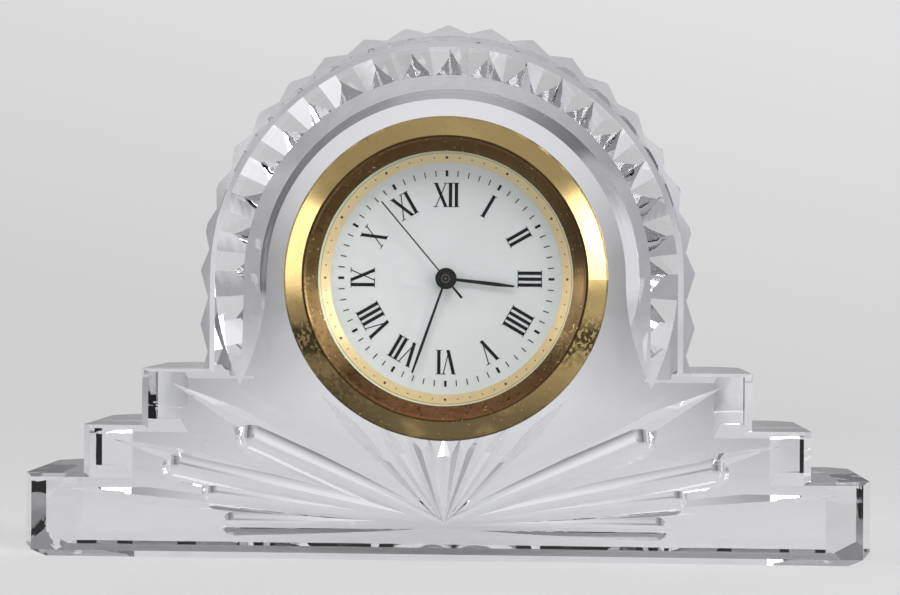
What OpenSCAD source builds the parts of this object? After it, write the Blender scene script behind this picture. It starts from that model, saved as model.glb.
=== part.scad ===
// Crystal desk clock: a stepped, fan-cut crystal block with a toothed arch, and a round quartz insert
// that slides into a bore through it. Millimetres, +Z up, front faces -Y, origin under the block's centre.

/* [Crystal steps] */
// Width of the bottom step
base_w = 170.3; // [160:0.1:180]
// Depth of the block from front to back
block_d = 38; // [34:0.5:46]
// Height of the bottom step
step_1_h = 16.9; // [15:0.1:18]
// Rise of the middle step
step_2_rise = 9.9; // [9:0.1:11]
// Rise of the top step
step_3_rise = 11.5; // [10:0.1:12]
// Tread of the bottom step on each side
tread_1 = 11.8; // [9:0.1:13]
// Tread of the middle step on each side
tread_2 = 11.8; // [9:0.1:13]
// How far the ground edges at the sides stand in
side_bevel = 1.8; // [1:0.1:3]
// How far the ground edges at the sides run back from the front and rear faces
side_run = 3; // [2:0.1:5]
// Height of the ground edges along the steps' tops
top_bevel = 0.6; // [0.3:0.1:1.2]
// How far the ground edges along the tops run back
top_run = 1.5; // [0.6:0.1:3]
// Height of the ground edges along the bottom
foot_bevel = 1.6; // [0.8:0.1:2.4]
// How far the ground edges at the sides of the rear face stand in
back_bevel = 5.8; // [3:0.1:7]
// How far the ground edges at the sides of the rear face run forwards
back_run = 5.4; // [3:0.1:7]
// Height of the ground edges along the tops of the rear face
back_top_bevel = 3; // [1:0.1:4]
// How far those run forwards
back_top_run = 1.3; // [0.6:0.1:3]
// Height of the cut at each bottom corner
foot_cut_h = 2.8; // [2.5:0.1:4]

/* [Arch] */
// Height of the clock's axis over the table
axis_h = 56.9; // [55:0.1:60]
// How far the middle of the teeth's circle lies above the axis
arch_rise = 1.3; // [0:0.1:2.6]
// Radius to the tips of the arch's teeth
tooth_tip_r = 50.2; // [49.6:0.1:52]
// Depth of the teeth
tooth_h = 1.9; // [1:0.1:2.2]
// Teeth in a full turn
teeth_per_turn = 36; // [24:2:48]
// Height from tooth to tooth down the legs of the arch
leg_pitch = 11; // [8:0.5:12]
// Radius of the smooth rim in front of the teeth
rim_r = 47.6; // [46.5:0.1:48]
// Radius of the crest between the ring groove and the sloping rim
crest_line_r = 46.4; // [44:0.1:46.5]
// Radius of the ring groove's bottom line
groove_r = 41.2; // [40:0.1:42]
// Depth of the ring groove
groove_deep = 4.4; // [3:0.1:5]
// How far the ring groove's ends run down beside the legs of the arch
groove_drop = 21.9; // [16:0.1:22]
// Depth of the sloping rim
rim_slope_d = 1.2; // [1:0.1:3]
// Depth of the plain band behind it
rim_band_d = 1.3; // [0.6:0.1:2]
// Depth over which the teeth rise to full height
tooth_rise_d = 3.2; // [2:0.1:4]
// Depth over which they fall off at the rear face
tooth_fall_d = 2.5; // [1:0.1:4]
// How far they fall off there
tooth_fall_in = 3.7; // [2:0.1:4.5]

/* [Cuts in the front] */
// Height of the point that the fan of cuts spreads from
fan_h = 7.6; // [6:0.1:9]
// Depth of the long cuts
ray_deep = 0.8; // [0.4:0.1:2.2]
// Half the width of the long cuts
ray_half_w = 1.8; // [1.2:0.1:3.6]
// Depth of the upper flutes' round ends
flute_deep = 1.9; // [1:0.1:2.4]
// Radius of the flutes
flute_r = 3.8; // [2.4:0.1:8]
// Half the width of the short cuts under the dial
short_half_w = 1.3; // [0.8:0.1:1.5]
// Depth of the short cuts
short_deep = 1.4; // [0.6:0.1:2]
// Angle between the short cuts
short_pitch = 11; // [10:0.5:14]
// How far the long cuts' tips stay from the steps' ground sides
tip_inset = 4.6; // [1:0.1:6]
// How far the long cuts' tips stay under the steps' tops
tip_drop = 2.7; // [1:0.1:4]

/* [Lens and dial] */
// Inner radius of the minute marks, which everything round the dial is measured from
mark_in_r = 20.6; // [19.5:0.1:22]
// Length of the minute marks
mark_l = 1.2; // [0.8:0.1:1.6]
// Width of a minute mark
mark_w = 0.2; // [0.14:0.02:0.26]
// Width of every fifth mark
bold_mark_w = 0.5; // [0.36:0.02:0.6]
// Gap between the minute marks and the gilt ring
mark_gap = 1.6; // [1:0.1:2]
// Gap between the figures and the minute marks
figure_gap = 1.3; // [0.8:0.1:1.8]
// Height of the figures
figure_h = 4.9; // [4:0.1:5.2]
// Width of a thick stroke
stroke_w = 0.68; // [0.5:0.02:0.8]
// Thickness of the printed figures
ink_t = 0.06; // [0.04:0.01:0.1]
// Width of the gilt ring that shows
gilt_w = 2.1; // [1.6:0.1:2.6]
// Depth of the dial's face behind the crystal's front
dial_t = 3.2; // [3.1:0.1:3.6]
// Thickness of the dial
dial_plate = 0.4; // [0.3:0.1:0.6]
// Thickness of the lens
lens_t = 1.2; // [1:0.1:1.3]
// How far the bezel laps over the lens
lens_lap = 0.9; // [0.6:0.1:1.2]
// Width of the gasket round the lens
gasket_w = 1; // [0.7:0.1:1.2]

/* [Insert] */
// Width of the cup's rim beside the lens seat
rim_seat_w = 0.6; // [0.4:0.1:1]
// Wall of the plastic cup
cup_wall = 1.2; // [1:0.1:1.5]
// Depth of the cup's rear face behind the crystal's front
cup_d = 15.6; // [15.2:0.1:18]
// Thickness of the cup's floor
cup_floor = 1.2; // [0.8:0.1:1.4]
// Width of the grip ring between the cup and the bore
grip_w = 0.8; // [0.6:0.05:1]
// Fins on the grip ring
grip_fins = 48; // [36:2:60]
// Radial clearance between the grip ring and the bore
bore_gap = 0.05; // [0.02:0.01:0.1]
// How far the bezel laps over the crystal
bezel_lap = 2.5; // [2:0.1:4]
// How far the bezel's crest stands in front of the crystal
bezel_proud = 4.2; // [3:0.1:5]
// How far the bezel's crest lies inside its outer edge
crest_in = 4.5; // [3.5:0.1:5]

/* [Hands] */
// Length of the hour hand
hour_hand_l = 13.9; // [12:0.1:16]
// Length of the minute hand
minute_hand_l = 20.2; // [18:0.1:22]
// Length of the seconds hand
second_hand_l = 20.2; // [18:0.1:22]
// Length of the seconds hand's tail
second_tail_l = 5.1; // [3:0.1:7]
// Where the hour hand points, clockwise from twelve
hour_at = 96.2; // [0:0.1:359]
// Where the minute hand points
minute_at = 199.3; // [0:0.1:359]
// Where the seconds hand points
second_at = 319.8; // [0:0.1:359]
// Radius of the cap over the hands
cap_r = 1.65; // [1.3:0.05:2]
// Thickness of the hands' blades
blade_t = 0.2; // [0.15:0.01:0.25]
// Width of the hour hand where it is widest
hour_hand_w = 0.8; // [0.6:0.05:1.2]
// Width of the minute hand where it is widest
minute_hand_w = 0.6; // [0.5:0.05:1]
// Width of the seconds hand
second_hand_w = 0.28; // [0.24:0.02:0.4]
// Width of the end of the seconds hand's tail
second_tail_w = 0.54; // [0.4:0.02:0.8]
// Width of the flat at the hands' tips
hand_tip_w = 0.4; // [0.24:0.02:0.5]
// Height of the hour hand's back over the dial
hand_lift = 0.8; // [0.6:0.05:1]
// Height from one hand to the next
hand_step = 0.65; // [0.5:0.05:0.7]

/* [Movement] */
// Wall of the movement's case
case_wall = 1; // [0.8:0.1:1.1]
// Thickness of the front plate
plate_t = 1; // [0.8:0.1:1.1]
// Inside depth of the case
case_in_d = 8.5; // [8.5:0.1:9]
// Radius of the seconds arbor
arbor_r = 0.45; // [0.4:0.01:0.5]
// Radius of the other arbors
pivot_r = 0.4; // [0.3:0.01:0.45]
// Radial clearance of a turning fit
turn_gap = 0.05; // [0.02:0.01:0.08]
// Wall of the tubes that carry the hour and minute hands
pipe_wall = 0.5; // [0.4:0.01:0.55]
// Diameter of the button cell
cell_d = 11.6; // [11.2:0.1:11.6]
// Height of the button cell
cell_h = 5.4; // [5:0.1:5.4]
// Radius of the setting knob
knob_r = 3.2; // [2.6:0.1:3.6]
// Length of the setting knob
knob_l = 3; // [2:0.1:4]

/* [Gears] */
// Module of the wheels that turn the hour hand
set_module = 0.25; // [0.24:0.005:0.25]
// Module of the wheels that turn the seconds hand
run_module = 0.2; // [0.195:0.005:0.2]
// Thickness of a wheel
wheel_t = 0.5; // [0.3:0.05:0.5]

/* [Hidden] */
$fn = 96;

eps = 0.01;
front_y = -block_d / 2;
step_2_h = step_1_h + step_2_rise;
step_3_h = step_2_h + step_3_rise;
step_2_w = base_w - 2 * tread_1;
step_3_w = step_2_w - 2 * tread_2;

// Depths behind the crystal's front face, along the clock's axis
lens_back_t = 0.3;
lens_front_t = lens_back_t - lens_t;
plate_back_t = dial_t + dial_plate + plate_t;
case_floor_t = plate_back_t + case_in_d;
case_back_t = case_floor_t + case_wall;
cup_front_t = 1.2;
cup_floor_t = cup_d - cup_floor;
hour_hand_t = dial_t - hand_lift - blade_t;
minute_hand_t = hour_hand_t - hand_step;
second_hand_t = minute_hand_t - hand_step;
collar_drop = 0.3;

// Radii of the dial and the insert, from the minute marks outwards and inwards
seat_gap = 0.02;
drop_in_gap = 0.1;
figure_in_r = mark_in_r - figure_gap - figure_h;
white_r = mark_in_r + mark_l + mark_gap;
sight_r = white_r + gilt_w;
lens_r = sight_r + lens_lap;
lens_seat_r = lens_r + gasket_w;
cup_in_r = lens_seat_r + rim_seat_w;
cup_r = cup_in_r + cup_wall;
bore_r = cup_r + grip_w;
grip_r = bore_r - bore_gap;
bezel_r = bore_r + bezel_lap;
dial_r = cup_in_r - drop_in_gap;

// Radii of the tubes round the clock's axis
cannon_in_r = arbor_r + turn_gap;
cannon_r = cannon_in_r + pipe_wall;
hour_in_r = cannon_r + turn_gap;
hour_r = hour_in_r + pipe_wall;
plate_hole_r = hour_r + turn_gap;
dial_hole_r = hour_r + 0.5;

// Tooth counts: the hour hand turns at 12/36 * 10/40 of the minute hand
cannon_n = 12;
minute_wheel_n = 36;
minute_pinion_n = 10;
hour_wheel_n = 40;
knob_n = 12;
// The seconds hand turns 60/8 * 64/8 times for each turn of the centre wheel
seconds_wheel_n = 60;
seconds_pinion_n = 8;
third_wheel_n = 60;
third_pinion_n = 8;
centre_wheel_n = 64;
// The rotor turns 48/8 * 60/12 times for each turn of the seconds hand
rotor_n = 8;
intermediate_wheel_n = 48;
intermediate_pinion_n = 12;

// Modules of the pairs that share their centres with another pair
set_reach = (cannon_n + minute_wheel_n) / 2 * set_module;
hour_module = 2 * set_reach / (minute_pinion_n + hour_wheel_n);
third_reach = (seconds_pinion_n + third_wheel_n) / 2 * run_module;
centre_module = 2 * third_reach / (third_pinion_n + centre_wheel_n);
intermediate_reach = (intermediate_pinion_n + seconds_wheel_n) / 2 * run_module;
rotor_reach = (rotor_n + intermediate_wheel_n) / 2 * run_module;
knob_reach = (minute_wheel_n + knob_n) / 2 * set_module;

// Places of the arbors, seen from the front: x to the right, y up
function polar(r, a) = [r * cos(a), r * sin(a)];
minute_a = 225;
third_a = 135;
intermediate_a = -20;
rotor_a = 60;
minute_p = polar(set_reach, minute_a);
knob_p = minute_p + polar(knob_reach, minute_a);
third_p = polar(third_reach, third_a);
intermediate_p = polar(intermediate_reach, intermediate_a);
rotor_p = intermediate_p + polar(rotor_reach, rotor_a);

// Depths of the wheels, from the front plate to the case's floor
hour_wheel_t = plate_back_t + 0.2;
cannon_t = hour_wheel_t + wheel_t + 0.35;
minute_wheel_t = cannon_t + 0.15;
cannon_l = wheel_t + 0.4;
centre_wheel_t = cannon_t + cannon_l + 0.1;
third_wheel_t = centre_wheel_t + wheel_t + 0.7;
seconds_wheel_t = third_wheel_t + wheel_t + 0.55;
intermediate_wheel_t = seconds_wheel_t + wheel_t + 0.6;
pivot_deep = 0.6;
rear_pivot_t = case_floor_t + pivot_deep;
front_pivot_t = plate_back_t - pivot_deep;

// Phases that put each pair of wheels in mesh
function mesh_phase(phase, n, towards, other_n) =
    towards + 180 - 360 / other_n * (0.5 - (towards - phase) * n / 360);
cannon_phase = 0;
minute_wheel_phase = mesh_phase(cannon_phase, cannon_n, -minute_a, minute_wheel_n);
minute_pinion_phase = 0;
hour_wheel_phase = mesh_phase(minute_pinion_phase, minute_pinion_n, 180 - minute_a, hour_wheel_n);
knob_phase = mesh_phase(minute_wheel_phase, minute_wheel_n, -minute_a, knob_n);
seconds_pinion_phase = 0;
third_wheel_phase = mesh_phase(seconds_pinion_phase, seconds_pinion_n, -third_a, third_wheel_n);
third_pinion_phase = 0;
centre_wheel_phase = mesh_phase(third_pinion_phase, third_pinion_n, 180 - third_a, centre_wheel_n);
seconds_wheel_phase = 0;
intermediate_pinion_phase = mesh_phase(seconds_wheel_phase, seconds_wheel_n, -intermediate_a,
    intermediate_pinion_n);
intermediate_wheel_phase = 0;
rotor_phase = mesh_phase(intermediate_wheel_phase, intermediate_wheel_n, -rotor_a, rotor_n);

// Magnet, stator and coil
magnet_r = 1.6;
magnet_t = centre_wheel_t + wheel_t + 0.2;
magnet_l = 1.4;
stator_hole_r = magnet_r + 0.3;
stator_t = 0.8;
core_p = [10.1, 13];
core_l = 15;
core_w = 1.6;
arm_w = 2;
coil_l = 10;
coil_r = 2.6;

// Button cell, its well, the case round it and the circuit board
cell_clear_r = 11.9;
cell_a = -47.3;
cell_p = polar(cell_clear_r + cell_d / 2, cell_a);
cover_plug_l = 1.4;
cell_t = cup_d - cover_plug_l - drop_in_gap - cell_h;
well_r = cell_d / 2 + 0.25;
well_wall = 0.35;
case_r = norm(cell_p) + well_r + well_wall + case_wall / 2;
board_p = [-2.6, -15.6];
board_size = [15.6, 8.6];
board_t = 0.8;
board_at_t = plate_back_t + 1.5;
board_post_drop = 3.2;
can_r = 1;
contact_t = 0.25;
contact_w = 2;
contact_up = 3;
contact_x = cell_p[0] - cell_d / 2 - contact_t - seat_gap;
screw_at_r = case_r - 2.6;
screw_angles = [20, 110, 165, 262];
screw_r = 0.7;
screw_head_r = 1.45;
screw_slot_w = 0.3;
boss_r = 1.7;
post_r = 0.6;
knob_shaft_r = 0.8;
cover_lap = 0.9;
cover_t = 0.7;
coin_slot = [cell_d / 2, 1];

// Puts its children on the clock's axis, with depth behind the crystal's front as their z
module on_axis() {
    translate([0, front_y, axis_h])
        rotate([-90, 0, 0])
            children();
}

// Moves its children to a place seen from the front, x to the right and y up
module at(p, t = 0) {
    translate([p[0], -p[1], t])
        children();
}

module disc(r, t, h) {
    translate([0, 0, t])
        cylinder(r = r, h = h);
}

module tube(r_out, r_in, t, h) {
    difference() {
        disc(r_out, t, h);
        disc(r_in, t - 1, h + 2);
    }
}

// A step of the block, with its edges ground on the front, the back, the sides and the top
module ground_step(w, h, foot = false) {
    half = w / 2;
    d = block_d / 2;
    intersection() {
        translate([0, d + 1, 0])
            rotate([90, 0, 0])
                linear_extrude(height = block_d + 2)
                    polygon(foot
                        ? [[-half, foot_cut_h], [-half + foot_cut_h * 1.5, 0], [half - foot_cut_h * 1.5, 0],
                            [half, foot_cut_h], [half, h], [-half, h]]
                        : [[-half, foot_bevel], [half, foot_bevel], [half, h], [-half, h]]);
        translate([0, 0, -1])
            linear_extrude(height = h + 2)
                polygon([
                    [half - side_bevel, -d], [half, side_run - d], [half, d - back_run],
                    [half - back_bevel, d], [back_bevel - half, d], [-half, d - back_run],
                    [-half, side_run - d], [side_bevel - half, -d]
                ]);
        translate([-half - 1, 0, 0])
            rotate([90, 0, 90])
                linear_extrude(height = w + 2)
                    polygon([
                        [-d, foot_bevel], [side_run - d, 0], [d - top_run, 0], [d, top_bevel],
                        [d, h - back_top_bevel], [d - back_top_run, h], [top_run - d, h], [-d, h - top_bevel]
                    ]);
    }
}

// Outline of the toothed arch and its upright legs, round the middle of the teeth's circle
leg_teeth = floor((axis_h + arch_rise - step_3_h) / leg_pitch) + 1;
leg_h = leg_teeth * leg_pitch;
valley_r = tooth_tip_r - tooth_h;
function arch_side(side) = [for (i = [0:2 * leg_teeth])
    [side * (i % 2 == 0 ? tooth_tip_r : valley_r), -i * leg_pitch / 2]];
function reversed(list) = [for (i = [len(list) - 1:-1:0]) list[i]];
arch_half = teeth_per_turn / 2;
arch_outline = concat(
    [for (i = [0:2 * arch_half])
        let (r = i % 2 == 0 ? tooth_tip_r : valley_r, a = i * 180 / (2 * arch_half))
        [r * cos(a), r * sin(a)]],
    [for (i = [1:2 * leg_teeth]) arch_side(-1)[i]],
    [for (i = [0:2 * leg_teeth - 1]) reversed(arch_side(1))[i]]);

// Half profiles of the arch from front to back: slope and band, then the teeth
band_end = rim_slope_d + rim_band_d;
rim_profile = [[0, 0], [crest_line_r, 0], [rim_r, rim_slope_d], [rim_r, block_d - rim_slope_d],
    [crest_line_r, block_d], [0, block_d]];
tooth_profile = [[0, band_end], [rim_r, band_end], [tooth_tip_r + eps, band_end + tooth_rise_d],
    [tooth_tip_r + eps, block_d - tooth_fall_d], [tooth_tip_r - tooth_fall_in, block_d], [0, block_d]];

// A round arch of a profile, on upright legs of the same profile
module arched(profile) {
    rotate_extrude($fn = 144)
        polygon(profile);
    rotate([-90, 0, 0])
        linear_extrude(height = leg_h - 1)
            polygon(concat([for (p = profile) [p[0], -p[1]]],
                [for (p = reversed(profile)) if (p[0] > 0) [-p[0], -p[1]]]));
}

module toothed_arch() {
    on_axis() {
        intersection() {
            arched(rim_profile);
            translate([-rim_r - 1, -rim_r - 1, -1])
                cube([2 * rim_r + 2, rim_r + 1 + axis_h - step_1_h, block_d + 2]);
        }
        at([0, arch_rise])
            intersection() {
                mirror([0, 1, 0])
                    linear_extrude(height = block_d)
                        polygon(arch_outline);
                arched(tooth_profile);
            }
    }
}

// The tools that cut the ring groove are this much wider than the groove, to clear the front face
cut_over = 1.3;

// A mitred wheel's cut: as long as the chord that the wheel makes at its depth
module wheel_cut(half_l, half_w, deep) {
    wheel_r = (half_l * half_l + deep * deep) / (2 * deep);
    translate([0, 0, deep - wheel_r])
        for (side = [-1, 1])
            rotate([0, side * 90, 0])
                cylinder(r1 = wheel_r, r2 = wheel_r - deep * cut_over, h = half_w * cut_over, $fn = 720);
}

// Ring groove over the arch, with ends that run down beside its legs to points on the top step
groove_half_w = crest_line_r - groove_r;
module ring_groove() {
    on_axis() {
        intersection() {
            rotate_extrude($fn = 144)
                polygon([
                    [groove_r, groove_deep],
                    [groove_r - groove_half_w * cut_over, groove_deep * (1 - cut_over)],
                    [groove_r + groove_half_w * cut_over, groove_deep * (1 - cut_over)]
                ]);
            translate([-rim_r, -rim_r, -groove_deep])
                cube([2 * rim_r, rim_r, 3 * groove_deep]);
        }
        for (side = [-1, 1])
            intersection() {
                translate([side * groove_r, 0, 0])
                    wheel_cut(groove_drop, groove_half_w, groove_deep);
                translate([-rim_r, 0, -groove_deep])
                    cube([2 * rim_r, groove_drop + 1, 3 * groove_deep]);
            }
    }
}

// A groove that starts at the face, at the origin, and deepens along x as it runs into the block
module sinking_groove(length, tilt, half_w, deep) {
    high = 6;
    spread = half_w / deep * high;
    rotate([0, 0, tilt])
        translate([-1, 0, 0])
            rotate([90, 0, 90])
                linear_extrude(height = length + 2)
                    polygon([[0, 0], [-high, spread], [-high, -spread]]);
}

// A cut from the fan's centre, pointed at both ends
module fan_cut(angle, length, half_w, deep, wide_at) {
    near_l = length * wide_at;
    far_l = length - near_l;
    translate([0, front_y, fan_h])
        rotate([0, -angle, 0])
            intersection() {
                sinking_groove(length, atan(deep / near_l), half_w, deep);
                translate([length, 0, 0])
                    mirror([1, 0, 0])
                        sinking_groove(length, atan(deep / far_l), half_w, deep);
            }
}

// A round-bottomed cut that deepens from the fan's centre to a round end
module flute(angle, length, deep) {
    reach = length - flute_r;
    translate([0, front_y, fan_h])
        rotate([0, -angle, 0])
            rotate([0, 0, atan(deep / reach)])
                translate([0, -flute_r, 0]) {
                    rotate([0, 90, 0])
                        cylinder(r = flute_r, h = reach);
                    translate([reach, 0, 0])
                        sphere(r = flute_r);
                }
}

// Where along a long cut it is widest
ray_wide_at = 0.76;

// The front tips of the steps that the long cuts point at, on the right-hand side
function front_tip(w, h) = [w / 2 - side_bevel - tip_inset, h - tip_drop - fan_h];
tips = [front_tip(base_w, step_1_h), front_tip(step_2_w, step_2_h), front_tip(step_3_w, step_3_h)];
function slope(p) = atan2(p[1], p[0]);

// Angle, length and share of the full depth of each flute, from the lowest up
flutes = [[-0.4, 46, 0.45], [6.6, 50, 0.65], [11.6, 58.5, 0.85], [23.4, 45.8, 1]];
module fan() {
    for (side = [0, 1])
        mirror([side, 0, 0]) {
            for (p = tips)
                fan_cut(slope(p), norm(p), ray_half_w, ray_deep, ray_wide_at);
            for (f = flutes)
                flute(f[0], f[1], f[2] * flute_deep);
            for (i = [1:4])
                short_cut(90 - i * short_pitch);
        }
    short_cut(90);
}

module short_cut(angle) {
    fan_cut(angle, reach_to_bore(angle), short_half_w, short_deep, ray_wide_at);
}

// How far a short cut runs before it goes under the bezel
function reach_to_bore(a) =
    let (up = axis_h - fan_h, under = bore_r + bezel_lap / 2)
    up * sin(a) - sqrt(max(0, under * under - pow(up * cos(a), 2)));

module crystal_body() {
    color("aliceblue")
        difference() {
            union() {
                ground_step(base_w, step_1_h, true);
                ground_step(step_2_w, step_2_h);
                ground_step(step_3_w, step_3_h);
                toothed_arch();
            }
            on_axis()
                disc(bore_r, -1, block_d + 2);
            fan();
            ring_groove();
        }
}

// Brass ring: an outer slope up to the crest, an inner slope down to the sight, and a skirt over the cup
crest_r = bezel_r - crest_in;
crest_w = 0.5;
rim_edge_t = 0.7;
rim_round = 0.4;
bezel_lip_t = lens_front_t - 0.4;
skirt_d = 3;
module bezel() {
    color("goldenrod")
        on_axis()
            rotate_extrude($fn = 180)
                polygon([
                    [bezel_r, 0], [bezel_r, -rim_edge_t], [bezel_r - rim_round, -rim_edge_t - crest_w],
                    [crest_r + crest_w, -bezel_proud], [crest_r, -bezel_proud],
                    [crest_r - rim_round, -bezel_proud + rim_round], [sight_r, bezel_lip_t],
                    [sight_r, lens_front_t], [lens_seat_r, lens_front_t], [lens_seat_r, lens_back_t],
                    [cup_r + seat_gap, lens_back_t], [cup_r + seat_gap, skirt_d], [grip_r, skirt_d],
                    [grip_r, 0]
                ]);
}

module lens() {
    color("lightcyan", 0.4)
        on_axis()
            disc(lens_r, lens_front_t, lens_t);
}

module lens_gasket() {
    color("dimgray")
        on_axis()
            tube(lens_seat_r - seat_gap, lens_r + seat_gap, lens_front_t, lens_t);
}

module chapter_ring() {
    edge_r = sight_r + drop_in_gap;
    edge_t = lens_back_t + rim_edge_t;
    color("burlywood")
        on_axis()
            rotate_extrude($fn = 180)
                polygon([[white_r, dial_t], [edge_r, edge_t], [edge_r, lens_back_t], [dial_r, lens_back_t],
                    [dial_r, dial_t]]);
}

module dial() {
    color("white")
        on_axis()
            tube(dial_r, dial_hole_r, dial_t, dial_plate);
}

// Strokes of the figures, drawn upright from the line y = 0 to y = figure_h
thin_w = stroke_w * 0.3;
serif_w = stroke_w * 0.45;
bar_pitch = stroke_w * 1.75;
serif_t = 0.14;
function figure_w(letter) = letter == "I" ? bar_pitch : figure_h * 0.55;

module slanted(x0, x1, w) {
    polygon([[x0 - w / 2, 0], [x0 + w / 2, 0], [x1 + w / 2, figure_h], [x1 - w / 2, figure_h]]);
}

module serif(x, y, w) {
    translate([x - w / 2, y])
        square([w, serif_t]);
}

module letter(name) {
    half = figure_w(name) / 2 - serif_w;
    if (name == "I") {
        slanted(0, 0, stroke_w);
        for (y = [0, figure_h - serif_t])
            serif(0, y, bar_pitch + eps);
    }
    if (name == "V") {
        slanted(thin_w / 2, -half, stroke_w);
        slanted(-thin_w / 2, half, thin_w);
        for (side = [-1, 1])
            serif(side * half, figure_h - serif_t, stroke_w + serif_w);
    }
    if (name == "X") {
        slanted(half, -half, stroke_w);
        slanted(-half, half, thin_w);
        for (side = [-1, 1], y = [0, figure_h - serif_t])
            serif(side * half, y, stroke_w + serif_w);
    }
}

// Width of the first n letters of a figure
function run_w(name, n) = n == 0 ? 0 : figure_w(name[n - 1]) + run_w(name, n - 1);

module figure(name) {
    for (i = [0:len(name) - 1])
        translate([run_w(name, i) + figure_w(name[i]) / 2 - run_w(name, len(name)) / 2, 0])
            letter(name[i]);
}

figures = ["XII", "I", "II", "III", "IIII", "V", "VI", "VII", "VIII", "IX", "X", "XI"];
module dial_numerals() {
    color("black")
        on_axis()
            translate([0, 0, dial_t - ink_t])
                linear_extrude(height = ink_t)
                    for (i = [0:len(figures) - 1])
                        rotate(i * 360 / len(figures))
                            mirror([0, 1])
                                translate([0, figure_in_r])
                                    figure(figures[i]);
}

module minute_track() {
    color("black")
        on_axis()
            translate([0, 0, dial_t - ink_t])
                linear_extrude(height = ink_t)
                    for (i = [0:59])
                        let (w = i % 5 == 0 ? bold_mark_w : mark_w)
                            rotate(i * 6)
                                translate([-w / 2, -mark_in_r - mark_l])
                                    square([w, mark_l]);
}

// Plastic cup that holds everything behind the dial, with a ledge under the front plate
ledge_w = 1.4;
module insert_cup() {
    color("#202022")
        on_axis()
            difference() {
                union() {
                    tube(cup_r, cup_in_r, cup_front_t, cup_d - cup_front_t);
                    tube(cup_in_r + eps, cup_in_r - ledge_w, plate_back_t, 0.8);
                    disc(cup_in_r + eps, cup_floor_t, cup_floor);
                }
                at(knob_p)
                    disc(knob_shaft_r + turn_gap, cup_floor_t - 1, cup_floor + 2);
                at(cell_p)
                    disc(well_r, cup_floor_t - 1, cup_floor + 2);
            }
}

// Outline of the grip ring: flat-topped fins that touch the bore's clearance, with valleys between them
grip_valley_r = grip_r - 0.35;
function fin_outline() = [for (i = [0:grip_fins - 1], k = [[-0.12, grip_r], [0.12, grip_r],
        [0.3, grip_valley_r], [0.7, grip_valley_r]])
    let (a = (i + k[0]) * 360 / grip_fins)
    [k[1] * cos(a), k[1] * sin(a)]];

module grip_ring() {
    start = skirt_d + 0.2;
    length = cup_d - start - 0.8;
    color("#303034")
        on_axis()
            difference() {
                translate([0, 0, start])
                    linear_extrude(height = length)
                        polygon(fin_outline());
                disc(cup_r + seat_gap, start - 1, length + 2, $fn = 4 * $fn);
            }
}

module movement_front_plate() {
    color("#e8e4d8")
        on_axis()
            difference() {
                union() {
                    disc(dial_r, dial_t + dial_plate, plate_t);
                    at(minute_p)
                        disc(pivot_r, plate_back_t - eps, minute_wheel_t + wheel_t - plate_back_t + 0.05);
                }
                disc(plate_hole_r, 0, plate_back_t + 1);
                for (p = [third_p, intermediate_p, rotor_p, knob_p])
                    at(p)
                        disc(pivot_r + turn_gap, front_pivot_t - 0.1, 1);
                for (a = screw_angles)
                    at(polar(screw_at_r, a))
                        disc(screw_r, front_pivot_t, 1);
            }
}

module movement_rear_case() {
    color("#2c2c30")
        on_axis()
            difference() {
                union() {
                    tube(case_r, case_r - case_wall, plate_back_t, case_back_t - plate_back_t);
                    disc(case_r - case_wall + eps, case_floor_t, case_wall);
                    for (a = screw_angles)
                        at(polar(screw_at_r, a))
                            disc(boss_r, plate_back_t, case_in_d + eps);
                    at(cell_p)
                        tube(well_r + well_wall, well_r, cell_t + 0.1, case_floor_t - cell_t);
                    for (side = [-1, 1]) {
                        at(board_p + [side * (board_size[0] / 2 - 1), -board_post_drop])
                            disc(post_r, board_at_t + board_t, case_floor_t - board_at_t - board_t + eps);
                        at(core_p + [side * (core_l - arm_w) / 2, 0])
                            disc(post_r, magnet_t + stator_t, case_floor_t - magnet_t - stator_t + eps);
                    }
                }
                at([contact_x - 0.15, cell_p[1]], cell_t - 0.5)
                    translate([0, -contact_w / 2 - 0.15, 0])
                        cube([1.5, contact_w + 0.3, contact_up + 0.7]);
                for (p = [third_p, intermediate_p, rotor_p])
                    at(p)
                        disc(pivot_r + turn_gap, case_floor_t - 1, pivot_deep + 1.1);
                disc(arbor_r + turn_gap, case_floor_t - 1, pivot_deep + 1.1);
                at(knob_p)
                    disc(knob_shaft_r + turn_gap, case_floor_t - 1, case_wall + 2);
                at(cell_p)
                    disc(well_r, case_floor_t - 1, case_wall + 2);
                for (a = screw_angles)
                    at(polar(screw_at_r, a)) {
                        disc(screw_r, plate_back_t - 1, case_back_t);
                        disc(screw_head_r + turn_gap, case_back_t - 0.5, 1);
                    }
            }
}

module case_screws() {
    color("silver")
        on_axis()
            for (a = screw_angles)
                at(polar(screw_at_r, a))
                    difference() {
                        union() {
                            disc(screw_r, front_pivot_t, case_back_t - front_pivot_t - 0.4);
                            disc(screw_head_r, case_back_t - 0.5, 0.45);
                        }
                        translate([-2 * screw_head_r, -screw_slot_w / 2, case_back_t - 0.25])
                            cube([4 * screw_head_r, screw_slot_w, 1]);
                    }
}

module circuit_board() {
    color("darkgreen")
        on_axis()
            at(board_p, board_at_t)
                translate([-board_size[0] / 2, -board_size[1] / 2, 0])
                    cube([board_size[0], board_size[1], board_t]);
}

// Round resin cap over the chip
module chip() {
    color("black")
        on_axis()
            at(board_p + [-2, 1], board_at_t)
                intersection() {
                    translate([0, 0, 2.4])
                        sphere(r = 3.4);
                    disc(2.4, -1, 1);
                }
}

module quartz_can() {
    color("silver")
        on_axis()
            at(board_p + [-3.5, 2], board_at_t + board_t + can_r)
                rotate([0, 90, 0])
                    cylinder(r = can_r, h = 6);
}

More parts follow.
